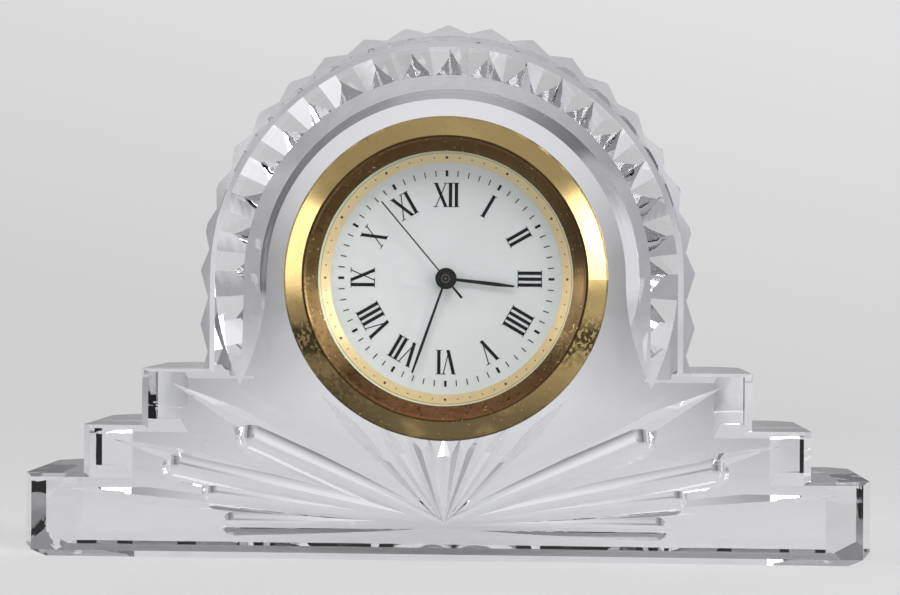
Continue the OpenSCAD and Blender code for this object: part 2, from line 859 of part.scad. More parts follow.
module coil_core() {
    color("gray")
        on_axis()
            at(core_p, magnet_t)
                translate([-core_l / 2, -core_w / 2, 0])
                    cube([core_l, core_w, stator_t]);
}

module coil() {
    color("#b5651d")
        on_axis()
            at(core_p, magnet_t + stator_t / 2)
                rotate([0, 90, 0])
                    difference() {
                        translate([0, 0, -coil_l / 2])
                            cylinder(r = coil_r, h = coil_l);
                        cube([stator_t + 0.04, core_w + 0.04, coil_l + 2], center = true);
                    }
}

// Two iron arms from the coil's core to the ring round the magnet
module stator() {
    color("lightgray")
        on_axis()
            translate([0, 0, magnet_t])
                difference() {
                    union() {
                        at(rotor_p)
                            cylinder(r = stator_hole_r + 1, h = stator_t);
                        for (side = [-1, 1])
                            at([core_p[0] + side * (core_l / 2 - arm_w / 2), core_p[1] - core_w / 2])
                                translate([-arm_w / 2, 0, 0])
                                    cube([arm_w, core_p[1] - core_w / 2 - rotor_p[1] - 1.2, stator_t]);
                        at([core_p[0], rotor_p[1] + 1.2])
                            translate([-core_l / 2, -arm_w, 0])
                                cube([core_l, arm_w, stator_t]);
                    }
                    at(rotor_p, -1)
                        cylinder(r = stator_hole_r, h = stator_t + 2);
                }
}

module battery() {
    color("silver")
        on_axis()
            at(cell_p)
                union() {
                    disc(cell_d / 2 - 1, cell_t, 0.5);
                    disc(cell_d / 2, cell_t + 0.5, cell_h - 0.5);
                }
}

// Spring strip that stands beside the cell, on a foot on the board
module battery_contact_pos() {
    foot_t = board_at_t + board_t;
    foot_l = contact_x - board_p[0] - board_size[0] / 2 + 1.5;
    color("gold")
        on_axis()
            at([contact_x, cell_p[1]], foot_t)
                translate([0, -contact_w / 2, 0])
                    union() {
                        cube([contact_t, contact_w, cell_t + contact_up - foot_t]);
                        translate([-foot_l, 0, 0])
                            cube([foot_l + eps, contact_w, contact_t]);
                    }
}

// Strip that rises from the board and passes under the cell's small end
module battery_contact_neg() {
    start = board_p[0] + board_size[0] / 2 - 1.2;
    low = board_p[1] - 1.4;
    strip_t = cell_t - contact_t - 0.02;
    wide = 1.6;
    color("gold")
        on_axis()
            union() {
                at([start, low], board_at_t + board_t)
                    translate([0, -wide / 2, 0])
                        cube([contact_t, wide, strip_t - board_at_t - board_t + contact_t]);
                at([start, low], strip_t)
                    translate([0, -wide / 2, 0])
                        cube([cell_p[0] + wide / 2 - start, wide, contact_t]);
                at([cell_p[0], cell_p[1] + 1], strip_t)
                    translate([-wide / 2, 0, 0])
                        cube([wide, cell_p[1] + 1 - low, contact_t]);
            }
}

module battery_cover() {
    color("#28282c")
        on_axis()
            at(cell_p)
                difference() {
                    union() {
                        disc(well_r - drop_in_gap, cup_d - cover_plug_l, cover_plug_l);
                        disc(well_r + cover_lap, cup_d, cover_t);
                    }
                    translate([-coin_slot[0] / 2, -coin_slot[1] / 2, cup_d + cover_t - 0.5])
                        cube([coin_slot[0], coin_slot[1], 1]);
                }
}

// A flat wheel: n straight-sided teeth of the given module, turned by phase
module toothed(n, pitch, phase) {
    p = 360 / n;
    tip_r = (n / 2 + 0.75) * pitch;
    root_r = (n / 2 - 1.1) * pitch;
    root_half = p * 0.27;
    tip_half = p * 0.09;
    polygon([for (i = [0:n - 1], k = [[-1, root_r, root_half], [-1, tip_r, tip_half], [1, tip_r, tip_half],
            [1, root_r, root_half]])
        let (a = phase + i * p + k[0] * k[2])
        [k[1] * cos(a), k[1] * sin(a)]]);
}

module gear(n, pitch, phase, t, h) {
    translate([0, 0, t])
        linear_extrude(height = h)
            toothed(n, pitch, phase);
}

// A knurled head on a shaft that ends in the pinion that turns the minute wheel
module set_knob() {
    shaft_end = cup_d + 0.2;
    rib_h = 0.25;
    rib_w = 0.7;
    color("#8c8c90")
        on_axis()
            at(knob_p)
                union() {
                    disc(pivot_r, front_pivot_t, minute_wheel_t - front_pivot_t);
                    gear(knob_n, set_module, knob_phase, minute_wheel_t - 0.1, wheel_t + 0.3);
                    disc(knob_shaft_r, minute_wheel_t + wheel_t, shaft_end - minute_wheel_t - wheel_t + eps);
                    translate([0, 0, shaft_end])
                        linear_extrude(height = knob_l)
                            union() {
                                circle(r = knob_r - rib_h);
                                for (i = [0:11])
                                    rotate(i * 30)
                                        translate([-knob_r, -rib_w / 2])
                                            square([2 * knob_r, rib_w]);
                            }
                }
}

module rotor() {
    color("#55555a")
        on_axis()
            at(rotor_p)
                union() {
                    disc(pivot_r, front_pivot_t, rear_pivot_t - front_pivot_t);
                    disc(magnet_r, magnet_t - 0.2, magnet_l);
                    gear(rotor_n, run_module, rotor_phase, intermediate_wheel_t - 0.1, wheel_t + 0.2);
                }
}

module intermediate_wheel() {
    color("ivory")
        on_axis()
            at(intermediate_p)
                union() {
                    disc(pivot_r, front_pivot_t, rear_pivot_t - front_pivot_t);
                    gear(intermediate_wheel_n, run_module, intermediate_wheel_phase, intermediate_wheel_t,
                        wheel_t);
                    gear(intermediate_pinion_n, run_module, intermediate_pinion_phase, seconds_wheel_t - 0.1,
                        intermediate_wheel_t - seconds_wheel_t + 0.1 + eps);
                }
}

module seconds_wheel() {
    arbor_front_t = second_hand_t - collar_drop;
    color("ivory")
        on_axis()
            union() {
                disc(arbor_r, arbor_front_t, rear_pivot_t - arbor_front_t);
                gear(seconds_wheel_n, run_module, seconds_wheel_phase, seconds_wheel_t, wheel_t);
                gear(seconds_pinion_n, run_module, seconds_pinion_phase, third_wheel_t - 0.1,
                    seconds_wheel_t - third_wheel_t + 0.1 + eps);
            }
}

module third_wheel() {
    color("ivory")
        on_axis()
            at(third_p)
                union() {
                    disc(pivot_r, front_pivot_t, rear_pivot_t - front_pivot_t);
                    gear(third_wheel_n, run_module, third_wheel_phase, third_wheel_t, wheel_t);
                    gear(third_pinion_n, centre_module, third_pinion_phase, centre_wheel_t - 0.1,
                        third_wheel_t - centre_wheel_t + 0.1 + eps);
                }
}

// Turns with a light grip on the cannon pinion's tube, so that the hands can be set
module centre_wheel() {
    color("khaki")
        on_axis()
            difference() {
                gear(centre_wheel_n, centre_module, centre_wheel_phase, centre_wheel_t, wheel_t);
                disc(cannon_r + turn_gap, centre_wheel_t - 1, wheel_t + 2);
            }
}

// Tube that carries the minute hand at its front and the pinion that turns the minute wheel
module cannon_pinion() {
    front_t = minute_hand_t - 0.2;
    tail_t = centre_wheel_t + wheel_t + 0.3;
    color("khaki")
        on_axis()
            difference() {
                union() {
                    disc(cannon_r, front_t, tail_t - front_t);
                    gear(cannon_n, set_module, cannon_phase, cannon_t, cannon_l);
                }
                disc(cannon_in_r, front_t - 1, tail_t - front_t + 2);
            }
}

// Runs on a stud of the front plate, short of the wheels behind it
module minute_wheel() {
    color("ivory")
        on_axis()
            at(minute_p)
                difference() {
                    union() {
                        gear(minute_wheel_n, set_module, minute_wheel_phase, minute_wheel_t, wheel_t);
                        gear(minute_pinion_n, hour_module, minute_pinion_phase, hour_wheel_t - 0.1,
                            minute_wheel_t - hour_wheel_t + 0.1 + eps);
                    }
                    disc(pivot_r + turn_gap, hour_wheel_t - 1, minute_wheel_t - hour_wheel_t + 2 + wheel_t);
                }
}

module hour_wheel() {
    front_t = hour_hand_t - 0.15;
    color("ivory")
        on_axis()
            difference() {
                union() {
                    disc(hour_r, front_t, hour_wheel_t + wheel_t - front_t);
                    gear(hour_wheel_n, hour_module, hour_wheel_phase, hour_wheel_t, wheel_t);
                }
                disc(hour_in_r, front_t - 1, hour_wheel_t + wheel_t - front_t + 2);
            }
}

// A slender hand with a round boss, pointing at an angle clockwise from twelve, and with a tail or none
module hand(length, hole_r, root_w, wide_w, at_angle, t, tail_l = 0, tail_w = 0) {
    wide_at = length * 0.74;
    tip_w = min(hand_tip_w, wide_w);
    tip_in = tip_w * 0.4;
    rotate(at_angle)
        mirror([0, 1, 0])
            difference() {
                union() {
                    disc(hole_r + boss_w, t, blade_t);
                    translate([0, 0, t])
                        linear_extrude(height = blade_t)
                            polygon(concat(
                                [[-root_w / 2, 0], [-wide_w / 2, wide_at], [-tip_w / 2, length - tip_in],
                                    [0, length], [tip_w / 2, length - tip_in], [wide_w / 2, wide_at],
                                    [root_w / 2, 0]],
                                tail_l > 0 ? [[tail_w / 2, -tail_l], [-tail_w / 2, -tail_l]] : []));
                }
                disc(hole_r, t - 1, blade_t + 2);
            }
}

boss_w = 0.6;
root_share = 0.7;
module hour_hand() {
    color("black")
        on_axis()
            hand(hour_hand_l, hour_r, hour_hand_w * root_share, hour_hand_w, hour_at, hour_hand_t);
}

module minute_hand() {
    color("black")
        on_axis()
            hand(minute_hand_l, cannon_r, minute_hand_w * root_share, minute_hand_w, minute_at,
                minute_hand_t);
}

module second_hand() {
    color("black")
        on_axis()
            hand(second_hand_l, arbor_r, second_hand_w, second_hand_w, second_at, second_hand_t,
                second_tail_l, second_tail_w);
}

// Collar that grips the seconds arbor, with the cap that covers the hands
module second_hand_hub() {
    collar_t = second_hand_t - collar_drop;
    step_w = cap_r * 0.2;
    color("#101010")
        on_axis()
            difference() {
                union() {
                    disc(cap_r, collar_t, collar_drop);
                    disc(cap_r - step_w, collar_t - blade_t, blade_t + eps);
                }
                disc(arbor_r, collar_t, 1);
            }
}

crystal_body();
bezel();
lens();
lens_gasket();
chapter_ring();
dial();
dial_numerals();
minute_track();
insert_cup();
grip_ring();
movement_front_plate();
movement_rear_case();
case_screws();
circuit_board();
chip();
quartz_can();
coil();
coil_core();
stator();
battery();
battery_contact_pos();
battery_contact_neg();
battery_cover();
set_knob();
rotor();
intermediate_wheel();
seconds_wheel();
third_wheel();
centre_wheel();
cannon_pinion();
minute_wheel();
hour_wheel();
hour_hand();
minute_hand();
second_hand();
second_hand_hub();
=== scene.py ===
import math

import bpy
from mathutils import Matrix, Vector

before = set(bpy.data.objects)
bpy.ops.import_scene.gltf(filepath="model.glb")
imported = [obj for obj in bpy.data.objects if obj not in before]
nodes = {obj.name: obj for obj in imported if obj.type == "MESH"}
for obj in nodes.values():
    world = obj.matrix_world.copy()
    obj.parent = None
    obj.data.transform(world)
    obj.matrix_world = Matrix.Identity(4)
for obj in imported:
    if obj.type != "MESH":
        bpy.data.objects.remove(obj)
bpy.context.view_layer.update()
print("frame loaded:", len(nodes), "nodes")


# a node's socket, for use in plain expressions: each operator adds its Math node
class Wire:
    def __init__(self, finish, socket):
        self.finish = finish
        self.socket = socket

    # another output of the same node
    def beside(self, name):
        return Wire(self.finish, self.socket.node.outputs[name])

    def __add__(self, other):
        return self.finish.maths("ADD", self, other)

    def __radd__(self, other):
        return self.finish.maths("ADD", other, self)

    def __sub__(self, other):
        return self.finish.maths("SUBTRACT", self, other)

    def __rsub__(self, other):
        return self.finish.maths("SUBTRACT", other, self)

    def __mul__(self, other):
        return self.finish.maths("MULTIPLY", self, other)

    def __rmul__(self, other):
        return self.finish.maths("MULTIPLY", other, self)

    def __truediv__(self, other):
        return self.finish.maths("DIVIDE", self, other)

    def __rtruediv__(self, other):
        return self.finish.maths("DIVIDE", other, self)

    def __gt__(self, other):
        return self.finish.maths("GREATER_THAN", self, other)

    def __lt__(self, other):
        return self.finish.maths("LESS_THAN", self, other)

    def __abs__(self):
        return self.finish.maths("ABSOLUTE", self)


# the node tree of one material, or of the world, with its few helpers
class Finish:
    def __init__(self, owner):
        self.owner = owner
        self.owner.use_nodes = True
        self.tree = self.owner.node_tree
        self.tree.nodes.clear()

    def plug(self, socket, value):
        if isinstance(value, Wire):
            self.tree.links.new(value.socket, socket)
        elif isinstance(value, tuple) and socket.type == "RGBA":
            socket.default_value = (*value, 1)
        else:
            socket.default_value = value

    # settings go first, as they decide which sockets a node has
    def node(self, kind, settings={}, sockets={}, out=0):
        made = self.tree.nodes.new("ShaderNode" + kind)
        for key, value in settings.items():
            setattr(made, key, value)
        for key, value in sockets.items():
            self.plug(made.inputs[key], value)
        return Wire(self, made.outputs[out]) if len(made.outputs) else None

    def maths(self, operation, *values):
        return self.node("Math", {"operation": operation}, dict(enumerate(values)))

    def most(self, a, b):
        return self.maths("MAXIMUM", a, b)

    def length(self, a, b):
        return self.maths("POWER", a * a + b * b, 0.5)

    def blend(self, amount, a, b):
        return self.node("Mix", {"data_type": "RGBA"}, {0: amount, 6: a, 7: b}, 2)

    def place(self):
        return self.node("TexCoord", out="Object")

    def noise(self, scale, detail, at=None):
        return self.node("TexNoise", {}, {"Vector": at or self.place(), "Scale": scale, "Detail": detail})

    def ramp(self, amount, low, high, to=(0.0, 1.0)):
        return self.node("MapRange", {}, {0: amount, 1: low, 2: high, 3: to[0], 4: to[1]})

    # whole up to low, gone from high on
    def fade(self, amount, low, high):
        return self.ramp(amount, low, high, (1, 0))

    def bump(self, height, distance, strength=1.0):
        return self.node("Bump", {}, {"Height": height, "Distance": distance, "Strength": strength})

    def surface(self, sockets):
        self.show(self.node("BsdfPrincipled", {}, sockets, "BSDF"))

    def show(self, shader):
        kind = "World" if isinstance(self.owner, bpy.types.World) else "Material"
        self.node("Output" + kind, {}, {"Surface": shader})


def dress(material, *names):
    for name in names:
        mesh = nodes[name].data
        mesh.materials.clear()
        mesh.materials.append(material)


# cut crystal is clear with a trace of lilac; its tint is also a little grey, as painted shade for the dimmer
# room seen through it; both glasses have faint waves from the polish and a few smudges
crystalLook = {
    "tint": (0.93, 0.933, 0.945), "ior": 1.545, "shadow": (0.97, 0.97, 0.975),
    "waves": (140, 1), "waveDeep": 0.00002, "smudges": (280, 4),  # scale and detail of the noise
}
lensLook = {
    "tint": (0.99, 1.0, 0.99), "ior": 1.33, "shadow": (0.97, 0.98, 0.97),
    "waves": (60, 1), "waveDeep": 0.000002, "smudges": (120, 4),
}
smudgeLook = {"from": (0.62, 0.8), "rough": (0.0, 0.03)}


def glassFinish(name, look):
    finish = Finish(bpy.data.materials.new(name))
    smudged = finish.ramp(finish.noise(*look["smudges"]), *smudgeLook["from"], smudgeLook["rough"])
    polish = finish.bump(finish.noise(*look["waves"]), look["waveDeep"])
    glass = finish.node("BsdfPrincipled", {}, {"Base Color": look["tint"], "Roughness": smudged,
        "IOR": look["ior"], "Transmission Weight": 1.0, "Normal": polish}, "BSDF")
    clear = finish.node("BsdfTransparent", {}, {"Color": look["shadow"]})
    shade = finish.node("LightPath", out="Is Shadow Ray")
    finish.show(finish.node("MixShader", {}, {0: shade, 1: glass, 2: clear}))
    return finish.owner


dress(glassFinish("cutCrystal", crystalLook), "crystal_body")
dress(glassFinish("lensGlass", lensLook), "lens")

# the crystal's polished edges are a little round
edgeLook = {"join": 1e-6, "wide": 0.00015, "segments": 2, "sharp": 16}


def roundEdges(name):
    thing = nodes[name]
    weld = thing.modifiers.new("weld", "WELD")
    weld.merge_threshold = edgeLook["join"]
    edge = thing.modifiers.new("edge", "BEVEL")
    edge.width, edge.segments = edgeLook["wide"], edgeLook["segments"]
    edge.limit_method, edge.angle_limit = "ANGLE", math.radians(edgeLook["sharp"])
    edge.use_clamp_overlap = True
    thing.modifiers.new("flats", "WEIGHTED_NORMAL")  # flat facets stay flat beside their edges


roundEdges("crystal_body")
print("glass made")

# the crystal's front face, and the height of the clock's axis
clock = {"front": -0.019, "axis": 0.0569}


# distance and clockwise turns round the clock's axis, and the ways right and up from it
def polar(finish):
    x = finish.node("SeparateXYZ", {}, {0: finish.place()}, "X")
    z = x.beside("Z") - clock["axis"]
    return finish.length(x, z), finish.maths("ARCTAN2", x, z) / math.tau, x, z


# brass with a gilt wash: satin outside its crest; inside it, painted dark as painted shade and reflection;
# stained where it was handled
# most pairs are the span over which a tone comes in, in metres or in the value of a noise
brassLook = {
    # the bronze low down is painted shade on the gilt
    "gilt": (0.53, 0.39, 0.165), "bronzeShade": (0.21, 0.155, 0.07),  # outside the crest, high up and low down
    # inside the crest the cone is painted dark as painted shade and reflection, and coppery low down as a
    # painted reflection
    "coneShade": (0.19, 0.12, 0.05), "copper": (0.34, 0.16, 0.07),  # inside it
    "stain": (0.03, 0.022, 0.014), "fleck": (0.9, 0.66, 0.3), "rust": (0.3, 0.13, 0.05),
    "rough": (0.2, 0.34), "roughCloud": (0.3, 0.7), "stainRough": 0.2,
    "lines": (4200, 14), "lineDetail": 4,  # turning lines for each metre outwards and each turn round
    "cloud": (120, 4), "fine": (1100, 3), "specks": (1500, 2),  # scale and detail of the noise
    "crest": 0.0283, "crestLine": (0.0001, 0.0002), "crestDark": 0.7,
    "low": (0.016, 0.027), "bronzeShadeCloud": (0.2, 0.45),  # metres under the axis
    "stainLow": 0.0125, "stainTall": (0.002, 0.006), "stainFine": (0.43, 0.5), "stainCloud": (0.36, 0.46),
    "stainDark": 0.9,
    "dullAt": -0.36, "dullWide": (0.03, 0.1), "dullMottle": (0.8, 1.1), "dullRange": (1, 0.5),
    "dullDark": 0.75,
    # painted shade on the cone, high up and to the right, with a fine random mottle
    "coneShadeHigh": (0.012, 0.026), "coneShadeHighShare": 0.5, "coneShadeRight": (0.014, 0.026), "coneShadeCloud": (0.3, 0.6),
    "coneShadeRange": (0.4, 1.0), "coneMottle": (0.55, 0.7), "coneDarkShare": 0.6,
    "speckSize": (0.68, 0.72), "speckCloud": (0.42, 0.55), "speckHigh": 2,
    "relief": 0.00001, "reliefShare": 0.35,
}


def brassFinish():
    finish = Finish(bpy.data.materials.new("gildedBrass"))
    look = brassLook
    radius, turn, x, z = polar(finish)
    outward, around = look["lines"]
    turned = finish.node("CombineXYZ", {}, {0: radius * outward, 1: turn * around})
    lines = finish.noise(1, look["lineDetail"], turned)
    cloud = finish.noise(*look["cloud"])
    fine = finish.noise(*look["fine"])
    under = z * -1
    low = finish.ramp(under, *look["low"])
    soft = look["crestLine"][0]
    inside = finish.fade(radius, look["crest"] - soft, look["crest"] + soft)
    # painted shade: the gilt turns to mottled darker bronze low down
    base = finish.blend(low * finish.ramp(cloud, *look["bronzeShadeCloud"]), look["gilt"], look["bronzeShade"])
    # two stained stretches low on either side, black between gold flecks
    stretch = finish.fade(abs(under - look["stainLow"]), *look["stainTall"])
    stains = finish.ramp(fine, *look["stainFine"]) * finish.ramp(cloud, *look["stainCloud"]) * stretch
    base = finish.blend(stains * look["stainDark"], base, look["stain"])
    # a dull stretch at the lower left
    mottle = finish.ramp(fine + cloud, *look["dullMottle"], look["dullRange"])
    dull = finish.fade(abs(turn - look["dullAt"]), *look["dullWide"]) * mottle
    base = finish.blend(dull * look["dullDark"], base, look["stain"])
    # the cone inside: painted shade and reflection, darker high up and to the right, mixed with a fine random
    # mottle
    high = finish.ramp(z, *look["coneShadeHigh"]) * look["coneShadeHighShare"]
    coneShading = finish.most(high, finish.ramp(x, *look["coneShadeRight"]))
    coneShading = coneShading * finish.ramp(cloud, *look["coneShadeCloud"], look["coneShadeRange"])
    coneMottleAndShade = finish.most(finish.ramp(fine, *look["coneMottle"]), coneShading)
    # painted reflection: the dark cone turns coppery low down
    dark = finish.blend(low, look["coneShade"], look["copper"])
    dark = finish.blend(coneMottleAndShade * look["coneDarkShare"], dark, look["stain"])
    base = finish.blend(inside, base, dark)
    crest = finish.fade(abs(radius - look["crest"]), *look["crestLine"])
    base = finish.blend(crest * look["crestDark"], base, look["stain"])
    # specks: gold low down and inside, rusty elsewhere
    specks = finish.ramp(finish.noise(*look["specks"]), *look["speckSize"])
    specks = specks * finish.ramp(cloud, *look["speckCloud"])
    base = finish.blend(specks, base, finish.blend(finish.most(low, inside), look["rust"], look["fleck"]))
    rough = finish.ramp(cloud, *look["roughCloud"], look["rough"]) + stains * look["stainRough"]
    relief = finish.bump(lines + specks * look["speckHigh"] + stains, look["relief"], look["reliefShare"])
    finish.surface({"Base Color": base, "Metallic": 1.0, "Roughness": rough, "Normal": relief})
    return finish.owner


dress(brassFinish(), "bezel")


# gilt minute ring with its dots and thin line, and the greenish edge of the lens round it; its top is painted
# lighter, as painted light where the bezel shades it
ringLook = {
    "gilt": (0.76, 0.58, 0.31), "drift": (0.66, 0.48, 0.23), "driftGrain": (0.3, 0.8), "driftShare": 0.4,
    # the top of the ring is painted lighter, as painted light
    "upper": (1.0, 0.83, 0.52), "upperFrom": (0.0, 0.024), "upperShare": 0.8,
    "ink": (0.03, 0.025, 0.02), "dots": 0.02435, "minutes": 60, "dot": 0.00014,
    "hours": 12, "hourDot": 0.00026,
    "line": 0.0252, "lineHalf": 0.00005, "lineDark": 0.7,
    "edge": (0.02536, 0.02546), "edgeColour": (0.56, 0.72, 0.6),
    "metal": 0.3, "rough": (0.34, 0.46), "roughGrain": (0.3, 0.7), "grain": (700, 3),
    "relief": 0.00001, "reliefShare": 0.2,
}


def ringFinish():
    finish = Finish(bpy.data.materials.new("giltRing"))
    look = ringLook
    radius, turn, _, z = polar(finish)

    def dots(count, size):
        fromMiddle = finish.maths("FRACT", turn * count + 0.5) - 0.5
        along = fromMiddle / count * math.tau * look["dots"]
        away = radius - look["dots"]
        return (along * along + away * away) < size * size

    line = abs(radius - look["line"]) < look["lineHalf"]
    marks = finish.most(dots(look["minutes"], look["dot"]), dots(look["hours"], look["hourDot"]))
    marks = finish.most(marks, line * look["lineDark"])
    grain = finish.noise(*look["grain"])
    drift = finish.ramp(grain, *look["driftGrain"]) * look["driftShare"]
    base = finish.blend(drift, look["gilt"], look["drift"])
    # painted light: lighter towards the top, standing in for the light that the bezel's shadow takes away
    base = finish.blend(finish.ramp(z, *look["upperFrom"]) * look["upperShare"], base, look["upper"])
    edge = finish.ramp(radius, *look["edge"])
    base = finish.blend(edge, finish.blend(marks, base, look["ink"]), look["edgeColour"])
    finish.surface({"Base Color": base, "Metallic": (1 - finish.most(marks, edge)) * look["metal"],
        "Roughness": finish.ramp(grain, *look["roughGrain"], look["rough"]),
        "Normal": finish.bump(grain, look["relief"], look["reliefShare"])})
    return finish.owner


dress(ringFinish(), "chapter_ring")


# painted, moulded and plain metal finishes share one recipe: colour that drifts, and a fine grain
plainGrain = {
    "cloud": (80, 3), "drift": (0.35, 0.7), "detail": 4, "roughFrom": (0.3, 0.7), "roughSpan": 0.05,
    "reliefShare": 0.3,
}

# colour, the one it drifts to, roughness, metallic, the grain's scale and depth, and shine where it is low
plainLook = {
    "dialEnamel": ((0.8, 0.83, 0.84), (0.78, 0.81, 0.82), 0.5, 0.0, 1500, 0.00001),
    "printInk": ((0.005, 0.005, 0.007), (0.009, 0.009, 0.011), 0.45, 0.0, 2500, 0.00001, 0.12),
    "handLacquer": ((0.006, 0.006, 0.007), (0.01, 0.01, 0.011), 0.3, 0.0, 1500, 0.00001, 0.25),
    "blackRubber": ((0.03, 0.03, 0.03), (0.045, 0.045, 0.045), 0.6, 0.0, 900, 0.00003),
    "cupPlastic": ((0.035, 0.035, 0.04), (0.05, 0.05, 0.055), 0.42, 0.0, 1200, 0.00003),
    "casePlastic": ((0.05, 0.05, 0.055), (0.07, 0.07, 0.075), 0.45, 0.0, 1200, 0.00003),
    "knobPlastic": ((0.2, 0.2, 0.21), (0.25, 0.25, 0.26), 0.35, 0.0, 1200, 0.00002),
    "platePlastic": ((0.75, 0.73, 0.66), (0.7, 0.68, 0.6), 0.45, 0.0, 900, 0.00002),
    "gearPlastic": ((0.82, 0.79, 0.7), (0.77, 0.73, 0.63), 0.38, 0.0, 1500, 0.00001),
    "gearBrass": ((0.74, 0.55, 0.24), (0.66, 0.46, 0.18), 0.25, 1.0, 1500, 0.00001),
    "brightSteel": ((0.6, 0.6, 0.62), (0.5, 0.5, 0.53), 0.22, 1.0, 900, 0.00001),
    "stampedIron": ((0.35, 0.35, 0.37), (0.28, 0.28, 0.3), 0.38, 1.0, 900, 0.00002),
    "copperWire": ((0.6, 0.27, 0.12), (0.5, 0.2, 0.08), 0.3, 1.0, 2500, 0.00003),
    "platedStrip": ((0.78, 0.6, 0.28), (0.7, 0.5, 0.22), 0.28, 1.0, 1200, 0.00001),
    "boardLacquer": ((0.02, 0.13, 0.055), (0.03, 0.17, 0.07), 0.25, 0.0, 700, 0.00002),
    "castResin": ((0.01, 0.01, 0.01), (0.02, 0.02, 0.02), 0.2, 0.0, 600, 0.00002),
    "magnetFerrite": ((0.09, 0.09, 0.1), (0.13, 0.13, 0.14), 0.5, 0.6, 900, 0.00003),
}


def plainFinish(name, colour, other, rough, metal, grain, depth, shine=0.5):
    finish = Finish(bpy.data.materials.new(name))
    look = plainGrain
    cloud = finish.noise(*look["cloud"])
    fine = finish.noise(grain, look["detail"])
    span = (rough - look["roughSpan"], rough + look["roughSpan"])
    finish.surface({"Base Color": finish.blend(finish.ramp(cloud, *look["drift"]), colour, other),
        "Metallic": metal, "Roughness": finish.ramp(fine, *look["roughFrom"], span),
        "Specular IOR Level": shine, "Normal": finish.bump(fine, depth, look["reliefShare"])})
    return finish.owner


plain = {name: plainFinish(name, *look) for name, look in plainLook.items()}
dress(plain["dialEnamel"], "dial")
dress(plain["printInk"], "dial_numerals", "minute_track")
dress(plain["handLacquer"], "hour_hand", "minute_hand", "second_hand")
dress(plain["blackRubber"], "lens_gasket", "grip_ring")
dress(plain["cupPlastic"], "insert_cup")
dress(plain["casePlastic"], "movement_rear_case", "battery_cover")
dress(plain["knobPlastic"], "set_knob")
dress(plain["platePlastic"], "movement_front_plate")
dress(plain["gearPlastic"], "intermediate_wheel", "seconds_wheel", "third_wheel")
dress(plain["gearPlastic"], "minute_wheel", "hour_wheel")
dress(plain["gearBrass"], "centre_wheel", "cannon_pinion")
dress(plain["brightSteel"], "case_screws", "quartz_can", "battery")
dress(plain["stampedIron"], "coil_core", "stator")
dress(plain["copperWire"], "coil")
dress(plain["platedStrip"], "battery_contact_pos", "battery_contact_neg")
dress(plain["boardLacquer"], "circuit_board")
dress(plain["castResin"], "chip")
dress(plain["magnetFerrite"], "rotor")


# the cap over the hands is lacquered black and turned: lighter and brassy at a ring and in the middle, in
# patches
capLook = {
    "black": (0.006, 0.006, 0.007), "brassyRing": (0.2, 0.165, 0.11),
    "ring": 0.00078, "ringHalf": (0.000065, 0.00013), "middle": (0.00018, 0.0003),
    "patches": (900, 2), "patchFrom": (0.3, 0.6), "patchRange": (0.4, 1.0),
    "metal": 0.6, "rough": (0.28, 0.4), "shine": 0.3,
    "turning": 9000, "relief": 0.00001, "reliefShare": 0.4,
}


def capFinish():
    finish = Finish(bpy.data.materials.new("turnedCap"))
    look = capLook
    radius = polar(finish)[0]
    ring = finish.fade(abs(radius - look["ring"]), *look["ringHalf"])
    bright = finish.most(ring, finish.fade(radius, *look["middle"]))
    brassyRing = bright * finish.ramp(finish.noise(*look["patches"]), *look["patchFrom"], look["patchRange"])
    marks = finish.maths("SINE", radius * look["turning"])
    finish.surface({"Base Color": finish.blend(brassyRing, look["black"], look["brassyRing"]),
        "Metallic": brassyRing * look["metal"], "Roughness": finish.ramp(brassyRing, 0, 1, look["rough"]),
        "Specular IOR Level": look["shine"],
        "Normal": finish.bump(marks, look["relief"], look["reliefShare"])})
    return finish.owner


dress(capFinish(), "second_hand_hub")
print("finishes made:", len(bpy.data.materials))

# level camera a little to the right of the clock, as far off as the photograph's perspective says
camera = {
    "away": 0.42, "x": 0.018, "z": 0.056,  # metres from the crystal's front, to the right and up
    "wide": 0.18, "midZ": 0.0531, "aside": 0.0009,  # the frame at the crystal: its width, middle and shift
    "roll": 0.45, "sensor": 36, "clip": (0.01, 20),  # degrees, millimetres, metres
}
lens = bpy.data.cameras.new("camera")
eye = bpy.data.objects.new("camera", lens)
bpy.context.scene.collection.objects.link(eye)
lens.sensor_width = camera["sensor"]
lens.lens = camera["sensor"] * camera["away"] / camera["wide"]
lens.shift_x = camera["aside"] / camera["wide"]
lens.shift_y = (camera["midZ"] - camera["z"]) / camera["wide"]
lens.clip_start, lens.clip_end = camera["clip"]
spot = Matrix.Translation((camera["x"], clock["front"] - camera["away"], camera["z"]))
turned = Matrix.Rotation(math.atan(camera["x"] / camera["away"]), 4, "Z")
upright = Matrix.Rotation(math.radians(90), 4, "X") @ Matrix.Rotation(math.radians(camera["roll"]), 4, "Z")
eye.matrix_world = spot @ turned @ upright
bpy.context.scene.camera = eye
print("camera set")

